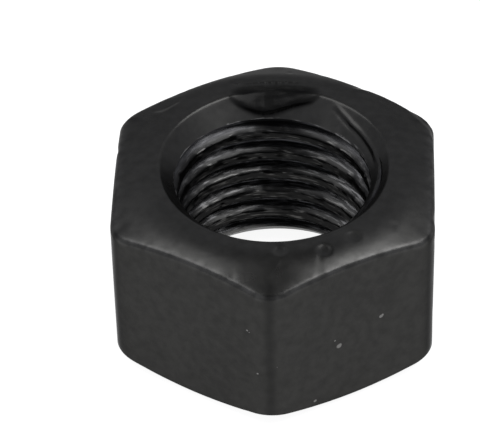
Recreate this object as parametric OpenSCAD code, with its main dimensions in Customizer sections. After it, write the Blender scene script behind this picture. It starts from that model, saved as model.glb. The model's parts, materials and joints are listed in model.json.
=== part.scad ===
// Hexagon nut, coarse right-hand metric thread, forged steel, one piece.
// Z runs up the thread axis and z = 0 is the lower bearing face.
// Two flats face +X and -X, two corners point along +Y and -Y.

/* [Hexagon] */

// width across the flats
flats_w = 24; // [23.6:0.1:24.4]

// height between the two end faces
nut_h = 14.2; // [13.4:0.1:15]

// radius of the forged upright corners
corner_r = 2.6; // [1.8:0.1:3]

/* [End chamfers] */

// diameter of the lower bearing face
bearing_d = 22; // [21.4:0.1:22.8]

// slope of the lower chamfer, degrees from the face
bearing_slope = 23; // [15:1:30]

// diameter of the upper end face
crown_d = 20.6; // [19.6:0.1:21.6]

// slope of the upper chamfer, degrees from the face
crown_slope = 23; // [15:1:30]

/* [Thread] */

// nominal major diameter of the thread
thread_d = 16; // [15.9:0.05:16.1]

// axial rise in one turn
pitch = 2; // [1.9:0.05:2.1]

// diameter over the thread crests
crest_d = 14.2; // [14:0.05:14.3]

// countersink diameter at each end face
sink_d = 17.4; // [16.8:0.1:17.6]

// included angle of each countersink, degrees
sink_angle = 90; // [90:5:120]

// height of the groove over the lower face at +X, in turns
thread_start = 0.76; // [0:0.01:1]

/* [Hidden] */

// flank half angle of the metric thread form
flank_angle = 30;

// straight steps that make up one turn of the groove
steps = 48;

// distance from the axis to the centre of each corner radius
corner_c = (flats_w / 2 - corner_r) / cos(30);

// radius of the envelope past the corners
reach = flats_w;

// how far the open side of the groove stands inside the crests
overrun = 0.35;

// radii of the groove, root and open side
root_r = thread_d / 2;
open_r = crest_d / 2 - overrun;

// half widths of the groove at those radii
root_half = pitch / 16;
open_half = root_half + (root_r - open_r) * tan(flank_angle);

// the groove runs out past both end faces
groove_from = (thread_start - 2) * pitch;
turns = ceil((nut_h + open_half) / pitch + 2);
rings = turns * steps;

// depth of each countersink, down to the crests
sink_h = (sink_d - crest_d) / 2 / tan(sink_angle / 2);

// how far the cutting shapes pass the end faces
spill = 0.5;

// facets round the turned surfaces and the corner radii
turned_fn = 180;
corner_fn = 96;

steel = [0.16, 0.16, 0.17];

// four corners of the groove section at one step along the helix
function groove_section(i) = [
    for (p = [[open_r, -open_half], [root_r, -root_half], [root_r, root_half], [open_r, open_half]])
        [p[0] * cos(360 * i / steps), p[0] * sin(360 * i / steps), groove_from + pitch * i / steps + p[1]]
];

// one side of the groove between two steps, split into two flat triangles
function groove_side(i, k) =
    let (a = 4 * i + k, b = 4 * i + (k + 1) % 4)
        [[a, b, a + 4], [b, b + 4, a + 4]];

// hexagon with its corners cut back to where the corner radii begin
module hexagon_bar() {
    linear_extrude(height = nut_h)
        polygon([
            for (i = [0:5])
                for (side = [-1, 1])
                    let (a = 60 * i + 30)
                        [corner_c * cos(a) + corner_r * cos(a + 30 * side),
                            corner_c * sin(a) + corner_r * sin(a + 30 * side)]
        ]);
    for (i = [0:5])
        rotate([0, 0, 60 * i + 30])
            translate([corner_c, 0, 0])
                cylinder(r = corner_r, h = nut_h, $fn = corner_fn);
}

// turned envelope that chamfers the corners at both ends
module chamfer_envelope() {
    low = (reach - bearing_d / 2) * tan(bearing_slope);
    high = (reach - crown_d / 2) * tan(crown_slope);
    rotate_extrude($fn = turned_fn)
        polygon([
            [0, 0],
            [bearing_d / 2, 0],
            [reach, low],
            [reach, nut_h - high],
            [crown_d / 2, nut_h],
            [0, nut_h]
        ]);
}

// plain bore through the nut at the crest diameter
module crest_bore() {
    translate([0, 0, -spill])
        cylinder(d = crest_d, h = nut_h + 2 * spill, $fn = turned_fn);
}

// countersink opening at z = 0, widening away from the nut
module countersink() {
    slope = tan(sink_angle / 2);
    translate([0, 0, -spill])
        cylinder(r1 = sink_d / 2 + spill * slope, r2 = crest_d / 2 - spill * slope,
            h = sink_h + 2 * spill, $fn = turned_fn);
}

// helical groove between the thread crests
module thread_groove() {
    polyhedron(
        points = [for (i = [0:rings]) for (p = groove_section(i)) p],
        faces = concat(
            [[0, 3, 2, 1]],
            [for (i = [0:rings - 1]) for (k = [0:3]) for (f = groove_side(i, k)) f],
            [[for (k = [0:3]) 4 * rings + k]]
        ),
        convexity = 20
    );
}

// the whole nut, a single piece of steel
module nut_body() {
    color(steel)
        difference() {
            intersection() {
                hexagon_bar();
                chamfer_envelope();
            }
            crest_bore();
            countersink();
            translate([0, 0, nut_h])
                mirror([0, 0, 1])
                    countersink();
            thread_groove();
        }
}

nut_body();
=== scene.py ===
"""A forged steel hexagon nut with a black oxide finish, standing on a pale studio floor."""
import json
import math

import bmesh
import bpy
import numpy as np
from mathutils import Matrix, Vector


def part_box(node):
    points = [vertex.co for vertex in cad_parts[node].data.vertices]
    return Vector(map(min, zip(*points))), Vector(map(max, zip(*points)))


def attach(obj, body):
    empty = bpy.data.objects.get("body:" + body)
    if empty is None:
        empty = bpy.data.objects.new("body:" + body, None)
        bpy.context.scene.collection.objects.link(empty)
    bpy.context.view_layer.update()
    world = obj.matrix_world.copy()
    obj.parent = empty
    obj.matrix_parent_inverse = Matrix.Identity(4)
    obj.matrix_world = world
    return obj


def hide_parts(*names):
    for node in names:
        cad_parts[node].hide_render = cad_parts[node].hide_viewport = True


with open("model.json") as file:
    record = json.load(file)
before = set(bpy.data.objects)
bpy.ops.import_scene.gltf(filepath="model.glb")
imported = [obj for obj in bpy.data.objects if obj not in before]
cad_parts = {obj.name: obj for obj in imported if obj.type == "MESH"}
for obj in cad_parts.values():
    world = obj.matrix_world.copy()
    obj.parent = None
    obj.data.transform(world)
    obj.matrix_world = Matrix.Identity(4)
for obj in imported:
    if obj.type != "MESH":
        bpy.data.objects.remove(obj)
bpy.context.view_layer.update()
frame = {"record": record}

MM = 0.001

# ---------------------------------------------------------------- dimensions
low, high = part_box("nut_body")
thread_mount = [m for m in frame["record"]["mounts"] if m["name"] == "thread"][0]

flats = high.x - low.x
height = high.z - low.z
corner_r = 2.65 * MM

# turn about the axis from one side to the next, and from the middle of a side to its corner
side_turn = math.pi / 3
half_side = math.pi / 6

# the two end faces, where they turn into the chamfers, and how steeply the chamfers fall
crown_r = 10.38 * MM
crown_slope = math.radians(22.5)
bearing_r = 10.9 * MM
bearing_slope = math.radians(22)

# rounding at the upper end: sides to chamfer, crown to chamfer, mouth of the countersink
edge_soft = 0.35 * MM
crown_soft = 0.5 * MM
mouth_soft = 0.13 * MM

# rounding at the lower end, in the same order
lower_edge_soft = 0.3 * MM
bearing_soft = 0.1 * MM
lower_mouth_soft = 0.08 * MM

# the thread: its crests are a little worn, and its roots are cut a little deep
worn = 0.12 * MM
crest_r = thread_mount["dims"]["r_mm"] * MM + worn
root_r = flats / 3 + 0.1 * MM
pitch = flats / 12
flank = math.radians(30)
# half the width of the flat at the root of the groove
root_half = pitch / 16
# height of the groove over the lower face at +X, as a share of the pitch
thread_start = 0.76

# the countersinks: the upper one is a little oval and off centre
sink_r = 8.68 * MM
sink_oval = 0.1 * MM
sink_offset = 0.15 * MM
sink_half_angle = math.radians(43)
lower_sink_r = sink_r + 0.15 * MM

# the blank is bored under size, and the tap takes the rest
drilled_r = crest_r - 0.8 * MM

# mesh fineness: columns round the blank, rows round its section, columns round the tap
columns = 460
blank_rows = 112
tap_columns = 320


# ---------------------------------------------------------------- camera
def main_camera():
    """The camera stands off one corner and looks down on the nut."""
    azimuth = math.radians(2.34)
    elevation = math.radians(41.6)
    roll = math.radians(-1.05)
    distance = 9.91 * flats
    aim_left = 2.70 * MM
    aim_above = 0.96 * MM
    back = Vector((
        math.sin(azimuth) * math.cos(elevation),
        -math.cos(azimuth) * math.cos(elevation),
        math.sin(elevation),
    ))
    side = Vector((math.cos(azimuth), math.sin(azimuth), 0))
    up = back.cross(side)
    centre = Vector((0, 0, height / 2))
    place = centre + back * distance
    turned = Matrix.Rotation(roll, 3, back)
    aim = centre - turned @ side * aim_left + turned @ up * aim_above
    look = (place - aim).normalized()
    right = (turned @ up).cross(look).normalized()
    above = look.cross(right)
    lens = bpy.data.cameras.new("camera")
    lens.sensor_width = 36
    lens.lens = 234
    lens.clip_start = 0.01
    lens.clip_end = 20
    camera = bpy.data.objects.new("camera", lens)
    camera.matrix_world = Matrix((
        (right.x, above.x, look.x, place.x),
        (right.y, above.y, look.y, place.y),
        (right.z, above.z, look.z, place.z),
        (0, 0, 0, 1),
    ))
    bpy.context.scene.collection.objects.link(camera)
    bpy.context.scene.camera = camera


main_camera()


# ---------------------------------------------------------------- smooth noise
# large odd numbers that scatter the corners of the noise grid, and the bits that are kept
scatter_x = 374761393
scatter_y = 668265263
scatter_z = 2147483647
scatter_seed = 974634777
scatter_again = 1274126177
low_bits = 0xFFFFFF


def hashed(i, j, k, seed):
    """A repeatable number from 0 to 1 for each corner of a grid."""
    n = i * scatter_x + j * scatter_y + k * scatter_z + seed * scatter_seed
    n = (n ^ (n >> 13)) * scatter_again
    n = n ^ (n >> 16)
    return (n & low_bits) / float(low_bits)


def noise(points, size, seed):
    """Smooth value noise from -1 to 1 with lumps of the given size."""
    q = points / size
    base = np.floor(q).astype(np.int64)
    f = q - base
    f = f * f * (3 - 2 * f)
    total = np.zeros(len(points))
    for di in (0, 1):
        for dj in (0, 1):
            for dk in (0, 1):
                weight = (
                    (f[:, 0] if di else 1 - f[:, 0])
                    * (f[:, 1] if dj else 1 - f[:, 1])
                    * (f[:, 2] if dk else 1 - f[:, 2])
                )
                total += weight * hashed(base[:, 0] + di, base[:, 1] + dj, base[:, 2] + dk, seed)
    return total * 2 - 1


def smooth_step(x, start, end):
    """0 before start, 1 after end, and a smooth rise between them."""
    t = np.clip((x - start) / (end - start), 0, 1)
    return t * t * (3 - 2 * t)


def layered(points, layers):
    """A sum of noises. Each layer has a strength, a size of lumps in millimetres and a seed."""
    return sum(strength * noise(points, size * MM, seed) for strength, size, seed in layers)


def plateau(x, rise, fall):
    """0, then 1 past the rise, then 0 again past the fall. Each has a start and an end."""
    return smooth_step(x, *rise) * (1 - smooth_step(x, *fall))


def bump_at(x, middle, half_width):
    """1 at the middle, and a smooth fall to 0 on both sides."""
    return np.exp(-((x - middle) / half_width) ** 2)


# ---------------------------------------------------------------- shape of the blank
def round_corner(a, b, r):
    """Joins two distances to surfaces so that the edge between them is rounded by r."""
    both = np.hypot(np.maximum(a + r, 0), np.maximum(b + r, 0))
    return np.minimum(np.maximum(a, b), -r) + both


def ease_corner(a, b, k):
    """Joins two distances to surfaces that meet at a wide angle, and eases the edge between them."""
    near = np.clip(1 - np.abs(a - b) / k, 0, 1)
    return np.maximum(a, b) + near ** 2 * k / 4


def from_side(angle):
    """Turn about the axis from the middle of the nearest side."""
    return (angle + half_side) % side_turn - half_side


def hexagon(r, angle):
    """Distance outside the upright sides, whose corners have a radius."""
    turn = from_side(angle)
    inner = flats / 2 - corner_r
    out = r * np.cos(turn) - inner
    along = np.maximum(np.abs(r * np.sin(turn)) - inner * math.tan(half_side), 0)
    return np.where(out > 0, np.hypot(out, along), out) - corner_r


def cone(r, depth, edge_r, slope):
    """Distance outside a chamfer that leaves an end face at edge_r. depth is from that face."""
    return (r - edge_r) * math.sin(slope) - depth * math.cos(slope)


def sink(r, depth, mouth_r):
    """Distance into the hollow of a countersink. depth is from the end face."""
    return (mouth_r - r) * math.cos(sink_half_angle) - depth * math.sin(sink_half_angle)


def upper_mouth(angle):
    """Radius of the mouth of the upper countersink."""
    across = np.sin(angle)
    return sink_r + sink_offset * across + sink_oval * across ** 2


def blank_surface(r, z, angle):
    """Distance outside the forged blank, less than 0 in the steel."""
    top = ease_corner(z - height, cone(r, height - z, crown_r, crown_slope), crown_soft)
    foot = round_corner(-z, cone(r, z, bearing_r, bearing_slope), bearing_soft)
    top = round_corner(top, sink(r, height - z, upper_mouth(angle)), mouth_soft)
    foot = round_corner(foot, sink(r, z, lower_sink_r), lower_mouth_soft)
    body = round_corner(hexagon(r, angle), top, edge_soft)
    body = round_corner(body, foot, lower_edge_soft)
    return np.maximum(body, drilled_r - r)


# where the columns stand closer: angle and half width in degrees, and how much closer
crowded = (
    (90, 26, 1.7),
    (-72, 26, 0.9),
    (40, 20, 0.5),
)


def column_angles():
    """Angles of the columns of the mesh, closer together at the lap, the dots and the burr."""
    tenths_of_degree = 3600
    turn = np.linspace(0, math.tau, tenths_of_degree + 1)
    dense = np.ones_like(turn)
    for centre, width, gain in crowded:
        away = (np.degrees(turn) - centre + 180) % 360 - 180
        dense += gain * bump_at(away, 0, width)
    run = np.concatenate([[0], np.cumsum((dense[1:] + dense[:-1]) / 2)])
    return np.interp(np.linspace(0, run[-1], columns, endpoint=False), run, turn)


def blank_rays(angle):
    """Where the section of the blank meets rays from inside the wall, at every column."""
    centre_r = 9.4 * MM
    centre_z = height / 2
    rays = 420
    halvings = 22
    swing = np.linspace(0, math.tau, rays, endpoint=False)
    a, s = np.meshgrid(angle, swing, indexing="ij")
    near = np.zeros_like(a)
    far = np.full_like(a, height)
    for _ in range(halvings):
        mid = (near + far) / 2
        inside = blank_surface(centre_r + mid * np.cos(s), centre_z + mid * np.sin(s), a) < 0
        near = np.where(inside, mid, near)
        far = np.where(inside, far, mid)
    return centre_r + near * np.cos(s), centre_z + near * np.sin(s)


# how close the rows stand on each stretch of the section
wall_rows = 0.6
chamfer_rows = 2.2
rim_rows = 3.4
foot_rows = 0.8
bore_rows = 0.1
# depth of the marked stretch at the top, and height of the chamfered one at the foot
marked_depth = 2.2 * MM
foot_height = 1.3 * MM
# a radian of bend counts as this length in millimetres
bend_length = 0.9
# no point counts as more bend than this, in radians
most_bend = 0.5


def spaced_rows(r, z):
    """Points along one closed section, closer together round the edges and where marks are cut."""
    close = 0.02 * MM
    r = np.append(r, r[0])
    z = np.append(z, z[0])
    dr = np.diff(r)
    dz = np.diff(z)
    turn = np.unwrap(np.arctan2(dz, dr))
    bend = np.minimum(np.abs(np.diff(turn, append=turn[0] + math.tau)), most_bend)
    at_top = z[:-1] > height - marked_depth
    wanted = np.where(at_top, chamfer_rows, wall_rows)
    wanted = np.where(at_top & (r[:-1] < crown_r), rim_rows, wanted)
    wanted = np.where(z[:-1] < foot_height, foot_rows, wanted)
    wanted = np.where(r[:-1] < drilled_r + close, bore_rows, wanted)
    step = np.hypot(dr, dz) * wanted + bend * bend_length * MM
    run = np.concatenate([[0], np.cumsum(step)])
    stops = np.linspace(0, run[-1], blank_rows, endpoint=False)
    return np.interp(stops, run, r), np.interp(stops, run, z)


def settled(r, z, angle):
    """Moves points that are close to the surface of the blank onto it."""
    tiny = 0.001 * MM
    least = 0.25
    passes = 3
    for _ in range(passes):
        off = blank_surface(r, z, angle)
        slope_r = (blank_surface(r + tiny, z, angle) - off) / tiny
        slope_z = (blank_surface(r, z + tiny, angle) - off) / tiny
        size = np.maximum(slope_r ** 2 + slope_z ** 2, least)
        r = r - off * slope_r / size
        z = z - off * slope_z / size
    return r, z


# ---------------------------------------------------------------- marks in the blank
# outline of the lap: how far in the fold hangs, across the nut, in millimetres
lap_across = (-3.7, -3.1, -2.4, -1.7, -1.0, -0.3, 0.5, 1.2, 2.0, 2.7, 3.3)
lap_fold = (8.75, 8.35, 8.02, 7.76, 7.62, 7.68, 7.86, 8.05, 8.24, 8.44, 8.85)
lap_back = 10.05
# depth of the lap from the fold (0) to the crown (1): a proud flap, then a hollow
lap_shares = (0, 0.03, 0.08, 0.16, 0.27, 0.4, 0.5, 0.62, 0.8, 0.93, 1)
lap_depths = (0, -0.16, -0.24, -0.22, -0.06, 0.17, 0.27, 0.25, 0.14, 0.08, 0)
# the lap is in the upper part of the nut, above this share of the height
lap_foot = 0.8
# short ridges along the back of the lap: their spacing in millimetres, depth, place and width
chatter_pitch = 0.5
chatter_depth = 0.03
chatter_share = 0.93
chatter_width = 0.07
# grain of the torn steel in the lap, drawn out sideways: strength, size and seed of each layer
lap_grain = ((0.05, 0.5, 21), (0.03, 0.25, 22))
grain_drawn = (0.4, 1, 1)
grain_rise = (0, 0.1)
grain_fall = (0.85, 1)

# the burr: its depth under the crown, in millimetres, at these angles in degrees
burr_turns = (15, 30, 45, 52, 58)
burr_depths = (0.92, 0.87, 0.75, 0.56, 0.3)
# its height and half its width, in millimetres
burr_height = 0.075
burr_width = 0.13
# angles between which it rises and dies away
burr_rise = (8, 22)
burr_fall = (54, 61)
# the furrow under it: how far under and half its width, in millimetres, and its share of the height
furrow_under = 0.26
furrow_width = 0.11
furrow_share = 0.4

# centre, radius and depth of the punched dots on the crown, in millimetres
punched_dots = (
    ((0.7, -9.55, 14.2), 0.45, 0.07),
    ((3.9, -9.35, 14.2), 0.5, 0.08),
    ((6.0, -7.85, 14.2), 0.5, 0.07),
)

# centre, radius and depth of the knocks along the edges, in millimetres
knocks = (
    ((-8.9, 7.15, 13.9), 0.55, 0.16),
    ((-8.3, 7.55, 13.95), 0.45, 0.14),
    ((-7.8, 7.85, 14.1), 0.35, 0.12),
    ((-3.2, 9.95, 14.2), 0.3, 0.16),
    ((2.4, -12.9, 12.6), 0.4, 0.07),
    ((11.9, -4.4, 12.9), 0.5, 0.09),
    ((-6.6, -10.6, 12.9), 0.4, 0.06),
    ((9.2, 9.1, 12.9), 0.5, 0.1),
    ((-11.9, 2.6, 12.9), 0.45, 0.08),
    ((-0.6, 13.2, 0.6), 0.5, 0.1),
    ((11.4, 6.4, 1.0), 0.4, 0.08),
)

# how steep the walls of the dots and of the knocks are
dot_sharp = 4
knock_sharp = 2

# the press leaves waves and pits outside this radius
forged_r = 8.9 * MM
# strength, size and seed of each layer of them, and their depths in millimetres
press_waves = ((0.6, 6, 3), (0.4, 2.4, 5))
press_pits = ((1, 0.9, 9),)
wave_depth = 0.012
pit_depth = 0.05
# only the highest lumps of the noise become pits
pit_start = 0.55


def lap_place(p):
    """How far across the lap a point is, in millimetres, and its share of the way up from the fold."""
    across = p[:, 0] / MM
    r = np.hypot(p[:, 0], p[:, 1]) / MM
    fold = np.interp(across, lap_across, lap_fold)
    share = (r - fold) / (lap_back - fold)
    at_back = (p[:, 1] > 0) & (p[:, 2] > height * lap_foot)
    inside = (across > lap_across[0]) & (across < lap_across[-1]) & at_back
    return across, share, inside


def lap_taper(across, power):
    """1 in the middle of the lap, 0 at its two ends. A higher power gives blunter ends."""
    middle = (lap_across[0] + lap_across[-1]) / 2
    half = (lap_across[-1] - lap_across[0]) / 2
    return np.clip(1 - np.abs((across - middle) / half) ** power, 0, 1)


def lap_depth(p):
    """The lap: steel folded over the rim of the countersink, with a hollow behind the fold."""
    across, share, inside = lap_place(p)
    hollow = np.interp(share, lap_shares, lap_depths)
    grain = layered(p * np.array(grain_drawn), lap_grain) * plateau(share, grain_rise, grain_fall)
    ridges = np.maximum(np.sin(across * math.tau / chatter_pitch), 0)
    chatter = chatter_depth * ridges * bump_at(share, chatter_share, chatter_width)
    return np.where(inside, (hollow + grain + chatter) * lap_taper(across, 2.5), 0) * MM


def burr_depth(p):
    """A burr that the tap pushed up along the edge of the first groove, with a furrow under it."""
    turn = np.degrees(np.arctan2(p[:, 1], p[:, 0]))
    depth = (height - p[:, 2]) / MM
    ridge = np.interp(turn, burr_turns, burr_depths)
    furrow = furrow_share * bump_at(depth, ridge + furrow_under, furrow_width)
    proud = bump_at(depth, ridge, burr_width) - furrow
    rough = 1 + 0.4 * noise(p, 0.7 * MM, 31)
    return -burr_height * MM * proud * plateau(turn, burr_rise, burr_fall) * rough


def dent_depth(p, dents, sharp):
    """Shallow round dents. A higher sharp gives steeper walls."""
    total = np.zeros(len(p))
    for centre, radius, depth in dents:
        away = np.linalg.norm(p - np.array(centre) * MM, axis=1) / (radius * MM)
        total += depth * MM * np.exp(-away ** sharp)
    return total


def sculpt_forging(p, normal):
    """Moves the surface in or out: press waves, pits, the lap, the burr, the dots and the knocks."""
    outside = np.hypot(p[:, 0], p[:, 1]) > forged_r
    waves = 1 + layered(p, press_waves)
    pits = np.maximum(layered(p, press_pits) - pit_start, 0)
    depth = np.where(outside, waves * wave_depth + pits * pit_depth, 0) * MM
    depth += lap_depth(p) + burr_depth(p)
    depth += dent_depth(p, punched_dots, dot_sharp) + dent_depth(p, knocks, knock_sharp)
    moved = p - normal * depth[:, None]
    # nothing stands proud of the end faces
    moved[:, 2] = np.clip(moved[:, 2], 0, height)
    return moved


# ---------------------------------------------------------------- meshes
def mesh_from(bm, name):
    """Stores a bmesh as an object in the scene."""
    mesh = bpy.data.meshes.new(name)
    bm.to_mesh(mesh)
    bm.free()
    made = bpy.data.objects.new(name, mesh)
    bpy.context.scene.collection.objects.link(made)
    return made


def blank_sections():
    """Radius and height of every point of the blank, one line for each column."""
    angle = column_angles()
    ray_r, ray_z = blank_rays(angle)
    rows = [spaced_rows(ray_r[i], ray_z[i]) for i in range(columns)]
    rows_r = np.array([r for r, z in rows])
    rows_z = np.array([z for r, z in rows])
    rows_r, rows_z = settled(rows_r, rows_z, angle[:, None])
    return angle, rows_r, rows_z


def forged_blank():
    """A ring is spun, each of its columns takes the section of the blank, and the marks are cut."""
    angle, rows_r, rows_z = blank_sections()
    bm = bmesh.new()
    row = bm.verts.layers.int.new("row")
    section = []
    for k in range(blank_rows):
        swing = math.tau * k / blank_rows
        v = bm.verts.new((flats / 2 + MM * math.cos(swing), 0, MM * math.sin(swing)))
        v[row] = k
        section.append(v)
    edges = [bm.edges.new((section[k], section[(k + 1) % blank_rows])) for k in range(blank_rows)]
    bmesh.ops.spin(
        bm, geom=section + edges, cent=(0, 0, 0), axis=(0, 0, 1), angle=math.tau,
        steps=columns, use_merge=True,
    )
    for v in bm.verts:
        turn = math.atan2(v.co.y, v.co.x)
        i = round(turn / math.tau * columns) % columns
        r = rows_r[i, v[row]]
        v.co = (r * math.cos(angle[i]), r * math.sin(angle[i]), rows_z[i, v[row]])
    bm.verts.layers.int.remove(row)
    bmesh.ops.recalc_face_normals(bm, faces=bm.faces)
    bm.normal_update()
    points = np.array([v.co for v in bm.verts])
    normals = np.array([v.normal for v in bm.verts])
    for v, place in zip(bm.verts, sculpt_forging(points, normals)):
        v.co = place
    return mesh_from(bm, "blank")


def tap_section():
    """One pitch of the tap: radius and rise, from the middle of one nut crest to the next."""
    crest_half = (7 * pitch / 8 - 2 * math.tan(flank) * (root_r - crest_r)) / 2
    soft = 0.07 * MM
    half_r = (crest_r + root_r) / 2
    half_rise = (crest_half + pitch / 2 - root_half) / 2
    rising = [
        (crest_r, 0),
        (crest_r, crest_half * 0.4),
        (crest_r, crest_half - soft),
        (crest_r + soft * 0.5, crest_half),
        (crest_r + soft * 1.8, crest_half + soft * 0.9),
        (half_r, half_rise),
        (root_r - soft * 2, pitch / 2 - root_half - soft),
        (root_r - soft * 0.5, pitch / 2 - root_half * 0.7),
    ]
    falling = [(r, pitch - rise) for r, rise in reversed(rising[1:])]
    return rising + [(root_r, pitch / 2)] + falling


def tap():
    """The tap that cuts the thread: its section is spun up one turn, and the seam is closed."""
    pitches_below = 3
    pitches_above = 2
    overrun = 0.7 * MM
    bm = bmesh.new()
    first = (thread_start + 0.5) * pitch - pitches_below * pitch
    pitches = math.ceil(height / pitch) + pitches_below + pitches_above
    points = [(r, first + n * pitch + rise) for n in range(pitches) for r, rise in tap_section()]
    verts = [bm.verts.new((r, 0, z)) for r, z in points]
    edges = [bm.edges.new((a, b)) for a, b in zip(verts, verts[1:])]
    bmesh.ops.spin(
        bm, geom=verts + edges, cent=(0, 0, 0), axis=(0, 0, 1), dvec=(0, 0, pitch / tap_columns),
        angle=math.tau, steps=tap_columns,
    )
    bmesh.ops.remove_doubles(bm, verts=bm.verts, dist=0.004 * MM)
    for z, up in ((-overrun, -1), (height + overrun, 1)):
        geom = bm.verts[:] + bm.edges[:] + bm.faces[:]
        cut = bmesh.ops.bisect_plane(
            bm, geom=geom, dist=1e-7, plane_co=(0, 0, z), plane_no=(0, 0, up), clear_outer=True,
        )
        rim = [e for e in cut["geom_cut"] if isinstance(e, bmesh.types.BMEdge)]
        bmesh.ops.contextual_create(bm, geom=rim)
    bmesh.ops.recalc_face_normals(bm, faces=bm.faces)
    return mesh_from(bm, "tap")


def tapped_nut():
    """The blank with the thread cut in it, as one closed mesh."""
    blank = forged_blank()
    cutter = tap()
    cut = blank.modifiers.new("thread", "BOOLEAN")
    cut.operation = "DIFFERENCE"
    cut.solver = "MANIFOLD"
    cut.object = cutter
    bpy.context.view_layer.update()
    view = bpy.context.evaluated_depsgraph_get()
    mesh = bpy.data.meshes.new_from_object(blank.evaluated_get(view))
    mesh.name = "steel_nut"
    for spent in (blank, cutter):
        bpy.data.objects.remove(spent)
    nut = bpy.data.objects.new("steel_nut", mesh)
    bpy.context.scene.collection.objects.link(nut)
    return nut


# ---------------------------------------------------------------- marks for the material
# how near a point is to the thread where the tap has cut it, and how deep in the blank it is
near_thread = 0.12 * MM
in_blank = 0.04 * MM
# how near the thread the brinks are, and how far they keep under the crown and the mouth
near_brink = 0.09 * MM
brink_under = 0.7 * MM
brink_inside = 0.5 * MM
# how far out from the crest radius the crests fade into the flanks
crest_fade = (0.08 * MM, 0.25 * MM)

# tears in the crests: strength, size and seed of each layer, and their depth in millimetres
crest_tears = ((0.55, 0.3, 41), (0.45, 0.13, 42))
tear_depth = 0.12
# more than half of the crest is torn, and the tears are drawn out along the thread
tear_more = 0.2
tear_drawn = 0.3

# black on the upright corners: how far it reaches, in radians, and where it starts outside the crown
corner_turn = 0.05
corner_rise = (1.2 * MM, 2.2 * MM)
# how far the rubbed edges and their painted highlight reach from the upright sides, and from the
# chamfer
rubbed_and_highlight_side = 0.45 * MM
rubbed_and_highlight_chamfer = 0.22 * MM
# where the painted shade of the lap rises and fades, from the fold (0) to the crown (1)
shade_rise = (-0.14, 0.0)
shade_fall = (0.6, 0.95)


def store(mesh, name, values):
    """Keeps one number for each point of the mesh, for the material."""
    layer = mesh.attributes.new(name, "FLOAT", "POINT")
    layer.data.foreach_set("value", np.ascontiguousarray(values, dtype=np.float32))


def thread_radius(phase):
    """Radius of the thread at a share of the pitch above its groove."""
    from_groove = phase * pitch
    from_groove = np.minimum(from_groove, pitch - from_groove)
    return np.clip(root_r - (from_groove - root_half) / math.tan(flank), crest_r, root_r)


def tear_out(helix, crest):
    """How far out the tap tore each point of the crests. helix is its place along the thread."""
    torn = layered(helix, crest_tears)
    return np.maximum(torn + tear_more, 0) * tear_depth * MM * crest


def corner_share(r, turn):
    """1 on the rounded upright edges of the sides, 0 in the middle of the flats."""
    near = 1 - smooth_step(half_side - np.abs(from_side(turn)), 0, corner_turn)
    return near * smooth_step(r, crown_r + corner_rise[0], crown_r + corner_rise[1])


def edge_wear_and_highlight(r, z, turn):
    """1 along the edges between the sides and the upper chamfer, where handling rubs the oxide and a
    highlight is painted.
    """
    to_side = hexagon(r, turn) / rubbed_and_highlight_side
    to_chamfer = cone(r, height - z, crown_r, crown_slope) / rubbed_and_highlight_chamfer
    return np.exp(-to_side ** 2 - to_chamfer ** 2)


def lap_painted_shade_share(p):
    """1 in the lap, whose hollow is painted black as shade and made matt, and 0 around it."""
    across, share, inside = lap_place(p)
    shade = plateau(share, shade_rise, shade_fall) * lap_taper(across, 8)
    return np.where(inside, shade, 0)


def finish_thread(mesh):
    """Tears the crests of the thread, and marks the mesh for the material."""
    p = np.empty(len(mesh.vertices) * 3)
    mesh.vertices.foreach_get("co", p)
    p = p.reshape(-1, 3)
    z = p[:, 2]
    r = np.hypot(p[:, 0], p[:, 1])
    turn = np.arctan2(p[:, 1], p[:, 0])
    rise = z - turn / math.tau * pitch

    # what the tap cut, and how much of it is crest
    phase = (z / pitch - thread_start - turn / math.tau) % 1
    off_thread = np.abs(r - thread_radius(phase))
    cut = (off_thread < near_thread) & (blank_surface(r, z, turn) < -in_blank)
    flank_share = smooth_step(r, crest_r + crest_fade[0], crest_r + crest_fade[1])
    crest = np.where(cut, 1 - flank_share, 0)

    # the sharp rim that the upper flank of the groove leaves in the countersink, which is given
    # painted glints
    rim = (off_thread < near_brink) & ~cut & (phase < 0.5)
    brink = rim & (z < height - brink_under) & (r < sink_r - brink_inside)

    helix = np.stack([turn * crest_r * tear_drawn, rise, r], 1)
    scale = 1 + tear_out(helix, crest) / r
    p[:, 0] *= scale
    p[:, 1] *= scale
    mesh.vertices.foreach_set("co", p.ravel())

    corner = corner_share(r, turn)
    store(mesh, "thread", np.where(cut, 1 - crest, 0))
    store(mesh, "brink", brink)
    store(mesh, "crest", crest)
    store(mesh, "rise", rise / MM)
    store(mesh, "corner", corner)
    store(mesh, "wear_and_highlight", edge_wear_and_highlight(r, z, turn) * (1 - corner))
    store(mesh, "lap", lap_painted_shade_share(p))
    mesh.update()


# ---------------------------------------------------------------- material
# dark and light tones of the oxide, of the smooth and the scored thread, and of torn crests
oxide_tones = ((0.0285, 0.0283, 0.0275, 1), (0.0365, 0.0362, 0.0350, 1))
smooth_tones = ((0.023, 0.023, 0.0242, 1), (0.045, 0.045, 0.047, 1))
# scored tones, low in the bore: the dark one is painted shade, the light one scoring streaks painted
# bright as glints
scored_shade_and_glint_tones = ((0.016, 0.016, 0.0163, 1), (0.075, 0.075, 0.077, 1))
crest_tones = ((0.012, 0.012, 0.012, 1), (0.075, 0.074, 0.072, 1))

# black on the upright corners, and painted shade in the hollow of the lap
corner_black = (0.012, 0.012, 0.012, 1)
lap_painted_shade = (0.006, 0.006, 0.006, 1)

# painted glints on the brinks of the thread, rubbed steel with a painted highlight on the edges, and
# bare steel in the chips
brink_painted_glint = (0.17, 0.168, 0.165, 1)
rubbed_steel_and_highlight = (0.07, 0.0695, 0.068, 1)
chip_steel = (0.15, 0.148, 0.145, 1)

# heights between which the thread turns from scored and painted darker as shade, below, to smooth,
# above
scored_shade_top = 8.5 * MM
smooth_foot = 11 * MM

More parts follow.
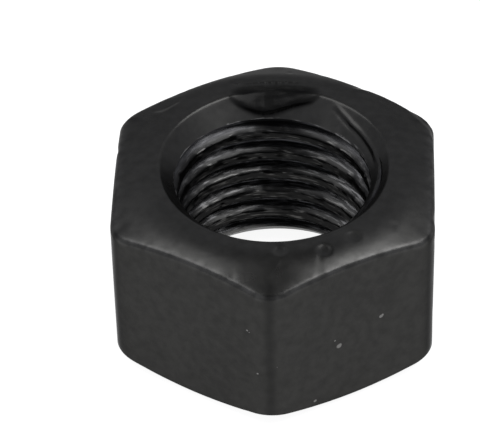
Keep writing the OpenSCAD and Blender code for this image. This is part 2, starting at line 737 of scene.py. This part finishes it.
# places and radii of the chips that show bare steel, in millimetres
chips = (
    ((8.07, -9.2, 7.4), 0.14),
    ((8.2, -9.1, 7.5), 0.1),
    ((4.99, -10.97, 6.0), 0.2),
    ((4.7, -11.1, 6.7), 0.08),
    ((3.22, -12.0, 1.3), 0.12),
    ((0.5, -13.4, 6.1), 0.07),
    ((-1.0, -13.3, 5.3), 0.07),
    ((-1.67, -12.9, 9.3), 0.07),
    ((-1.5, -12.97, 9.2), 0.07),
    ((-9.4, 6.6, 4.2), 0.2),
    ((11.9, 3.3, 8.8), 0.22),
    ((-11.95, -2.4, 3.6), 0.18),
    ((5.6, 10.7, 9.9), 0.2),
)


class Nodes:
    """Short calls for the nodes that the finish is made from."""

    # where a Mix node has its two colours and its mixed colour
    colour_sockets = slice(6, 8)
    colour_result = 2

    def __init__(self, material):
        self.nodes = material.node_tree.nodes
        self.links = material.node_tree.links
        self.place = self.nodes.new("ShaderNodeTexCoord").outputs["Object"]
        parts = self.nodes.new("ShaderNodeSeparateXYZ")
        self.links.new(self.place, parts.inputs[0])
        self.x, self.y, self.z = parts.outputs

    def grain(self, scale, detail):
        """Noise over the object."""
        made = self.nodes.new("ShaderNodeTexNoise")
        made.inputs["Scale"].default_value = scale
        made.inputs["Detail"].default_value = detail
        self.links.new(self.place, made.inputs["Vector"])
        return made.outputs["Fac"]

    def streaks(self, along, across):
        """Noise that is drawn out along the thread. Across is in lumps to the millimetre."""
        joined = self.nodes.new("ShaderNodeCombineXYZ")
        self.links.new(self.maths("MULTIPLY", self.x, along), joined.inputs["X"])
        self.links.new(self.maths("MULTIPLY", self.y, along), joined.inputs["Y"])
        self.links.new(self.maths("MULTIPLY", self.kept("rise"), across), joined.inputs["Z"])
        made = self.nodes.new("ShaderNodeTexNoise")
        made.inputs["Scale"].default_value = 1.0
        made.inputs["Detail"].default_value = 2.0
        self.links.new(joined.outputs["Vector"], made.inputs["Vector"])
        return made.outputs["Fac"]

    def ramp(self, value, start, end, first=0, last=1):
        """Changes a value from first to last between start and end."""
        made = self.nodes.new("ShaderNodeMapRange")
        self.links.new(value, made.inputs["Value"])
        made.inputs["From Min"].default_value = start
        made.inputs["From Max"].default_value = end
        made.inputs["To Min"].default_value = first
        made.inputs["To Max"].default_value = last
        return made.outputs["Result"]

    def maths(self, operation, a, b):
        """One sum. b may be a number."""
        made = self.nodes.new("ShaderNodeMath")
        made.operation = operation
        self.links.new(a, made.inputs[0])
        if isinstance(b, (int, float)):
            made.inputs[1].default_value = b
        else:
            self.links.new(b, made.inputs[1])
        return made.outputs["Value"]

    def away_from(self, centre):
        """Distance from a point, which is given in metres."""
        made = self.nodes.new("ShaderNodeVectorMath")
        made.operation = "DISTANCE"
        self.links.new(self.place, made.inputs[0])
        made.inputs[1].default_value = centre
        return made.outputs["Value"]

    def kept(self, name):
        """A number kept on the mesh."""
        made = self.nodes.new("ShaderNodeAttribute")
        made.attribute_name = name
        return made.outputs["Fac"]

    def blend(self, share, first, last):
        """Mixes two colours. Each is a colour or a socket."""
        made = self.nodes.new("ShaderNodeMix")
        made.data_type = "RGBA"
        self.links.new(share, made.inputs["Factor"])
        for colour, socket in zip((first, last), made.inputs[self.colour_sockets]):
            if isinstance(colour, tuple):
                socket.default_value = colour
            else:
                self.links.new(colour, socket)
        return made.outputs[self.colour_result]


def oxide_colour(make, cloud, fine):
    """Mottled oxide, blacker on the upright corners."""
    mottle = make.maths("ADD", make.maths("MULTIPLY", cloud, 0.35), make.maths("MULTIPLY", fine, 0.65))
    colour = make.blend(make.ramp(mottle, 0.38, 0.62), *oxide_tones)
    return make.blend(make.maths("MULTIPLY", make.kept("corner"), 0.5), colour, corner_black)


def thread_colour(make, colour):
    """Thin oxide that is scored along the thread, with torn crests, painted shade on the deeper turns,
    and painted glints on the scoring streaks and on the brinks.
    """
    streak = make.streaks(along=800, across=11.0)
    smooth = make.blend(make.ramp(streak, 0.42, 0.62), *smooth_tones)
    scored = make.blend(make.ramp(streak, 0.5, 0.6), *scored_shade_and_glint_tones)
    # painted shade: the thread darkens towards the bottom of the bore
    wall = make.blend(make.ramp(make.z, scored_shade_top, smooth_foot), scored, smooth)
    colour = make.blend(make.kept("thread"), colour, wall)
    torn = make.blend(make.ramp(streak, 0.58, 0.68), *crest_tones)
    colour = make.blend(make.kept("crest"), colour, torn)
    # painted glints: bright colour along the brinks stands in for light caught by the edge
    glint = make.maths("MULTIPLY", make.kept("brink"), make.ramp(streak, 0.5, 0.6))
    return make.blend(glint, colour, brink_painted_glint)


def chip_share(make, fine):
    """1 in the chips, whose outlines are ragged, and 0 around them."""
    ragged = make.ramp(fine, 0.3, 0.7, -0.1 * MM, 0.1 * MM)
    chipped = None
    for centre, radius in chips:
        away = make.maths("ADD", make.away_from([c * MM for c in centre]), ragged)
        one = make.ramp(away, radius * MM, radius * 0.5 * MM)
        chipped = one if chipped is None else make.maths("MAXIMUM", chipped, one)
    return chipped


def black_oxide():
    """Satin black oxide on forged steel, thin on the thread and chipped in a few places, with painted
    shade in the lap and on the deep thread, and painted glints and highlights on the brinks and edges.
    """
    material = bpy.data.materials.new("black_oxide")
    material.use_nodes = True
    make = Nodes(material)
    shader = make.nodes["Principled BSDF"]
    shader.inputs["Metallic"].default_value = 0.92
    shader.inputs["Specular Tint"].default_value = (0.45, 0.45, 0.45, 1)

    cloud = make.grain(scale=160, detail=3)
    fine = make.grain(scale=1400, detail=5)
    chipped = chip_share(make, fine)
    # rubbed oxide, lightened further as a painted highlight along the chamfer edges
    rubbed_and_highlight = make.maths("MULTIPLY", make.kept("wear_and_highlight"), make.ramp(fine, 0.35, 0.65, 0.2, 1))
    colour = thread_colour(make, oxide_colour(make, cloud, fine))
    colour = make.blend(rubbed_and_highlight, colour, rubbed_steel_and_highlight)
    # painted shade: the hollow of the lap is coloured near black
    colour = make.blend(make.maths("MULTIPLY", make.kept("lap"), 0.95), colour, lap_painted_shade)
    colour = make.blend(chipped, colour, chip_steel)
    make.links.new(colour, shader.inputs["Base Color"])

    # the thread is smoother than the forging, and the lap is rougher
    rough = make.ramp(cloud, 0.35, 0.65, 0.27, 0.33)
    rough = make.maths("SUBTRACT", rough, make.maths("MULTIPLY", make.kept("thread"), 0.08))
    rough = make.maths("ADD", rough, make.maths("MULTIPLY", make.kept("lap"), 0.1))
    make.links.new(rough, shader.inputs["Roughness"])

    bump = make.nodes.new("ShaderNodeBump")
    bump.inputs["Strength"].default_value = 0.3
    bump.inputs["Distance"].default_value = 0.02 * MM
    make.links.new(make.maths("SUBTRACT", fine, chipped), bump.inputs["Height"])
    make.links.new(bump.outputs["Normal"], shader.inputs["Normal"])
    return material


def steel_nut():
    """The tapped nut with its finish."""
    nut = tapped_nut()
    finish_thread(nut.data)
    # the cut leaves an empty material slot
    nut.data.materials.clear()
    nut.data.materials.append(black_oxide())
    for face in nut.data.polygons:
        face.use_smooth = True
    nut.data.set_sharp_from_angle(angle=math.radians(40))
    return nut


nut = steel_nut()
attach(nut, "root")
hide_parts("nut_body")


# ---------------------------------------------------------------- studio
# half the side of the floor
floor_half = 2

# the two soft boxes: how far to each side, back and up their middles are, and their size
box_aside = 0.19
box_back = 0.01
box_up = 0.355
box_width = 0.245
box_depth = 0.24
# brightness of each, where 1 looks as bright as white paper
left_brightness = 2.9
right_brightness = 5.2

# the dark ceiling that shows between them
ceiling_half_width = 0.072
ceiling_half_depth = 0.3
ceiling_up = 0.43


def plain_sheet(name, half_width, half_depth, up):
    """Makes a level sheet that isn't part of the nut, and returns the shader of its material."""
    bm = bmesh.new()
    bmesh.ops.create_grid(bm, x_segments=1, y_segments=1, size=1)
    for v in bm.verts:
        v.co = (v.co.x * half_width, v.co.y * half_depth, up)
    sheet = mesh_from(bm, name)
    material = bpy.data.materials.new(name)
    material.use_nodes = True
    sheet.data.materials.append(material)
    return material.node_tree.nodes["Principled BSDF"]


def pale_floor():
    """A wide floor that glows white, so that the nut throws almost no shadow."""
    shader = plain_sheet("floor", floor_half, floor_half, 0)
    shader.inputs["Base Color"].default_value = (0.2, 0.2, 0.2, 1)
    shader.inputs["Roughness"].default_value = 0.9
    shader.inputs["Emission Color"].default_value = (1, 1, 1, 1)
    shader.inputs["Emission Strength"].default_value = 0.92


def dark_ceiling():
    """A narrow black sheet over the nut, between the two soft boxes."""
    shader = plain_sheet("ceiling", ceiling_half_width, ceiling_half_depth, ceiling_up)
    shader.inputs["Base Color"].default_value = (0.02, 0.02, 0.02, 1)
    shader.inputs["Roughness"].default_value = 1.0


def soft_box(name, aside, brightness):
    """A rectangular soft box that faces the nut from above. aside is how far right it stands."""
    lamp = bpy.data.lights.new(name, "AREA")
    lamp.shape = "RECTANGLE"
    lamp.size = box_width
    lamp.size_y = box_depth
    lamp.energy = brightness * math.pi * box_width * box_depth
    light = bpy.data.objects.new(name, lamp)
    light.location = (aside, box_back, box_up)
    from_nut = Vector(light.location) - Vector((0, 0, height))
    light.rotation_euler = from_nut.to_track_quat("Z", "Y").to_euler()
    bpy.context.scene.collection.objects.link(light)


def studio_air():
    """Surroundings that light the nut a cool grey, and look white behind it."""
    world = bpy.data.worlds.new("studio")
    world.use_nodes = True
    nodes = world.node_tree.nodes
    links = world.node_tree.links
    room = nodes["Background"]
    room.inputs["Color"].default_value = (0.94, 0.95, 1, 1)
    room.inputs["Strength"].default_value = 0.72
    paper = nodes.new("ShaderNodeBackground")
    paper.inputs["Color"].default_value = (1, 1, 1, 1)
    paper.inputs["Strength"].default_value = 1.0
    seen = nodes.new("ShaderNodeLightPath")
    either = nodes.new("ShaderNodeMixShader")
    links.new(seen.outputs["Is Camera Ray"], either.inputs["Fac"])
    links.new(room.outputs["Background"], either.inputs[1])
    links.new(paper.outputs["Background"], either.inputs[2])
    links.new(either.outputs["Shader"], nodes["World Output"].inputs["Surface"])
    bpy.context.scene.world = world


pale_floor()
dark_ceiling()
studio_air()
soft_box("left_box", -box_aside, left_brightness)
soft_box("right_box", box_aside, right_brightness)
bpy.context.scene.view_settings.view_transform = "Standard"
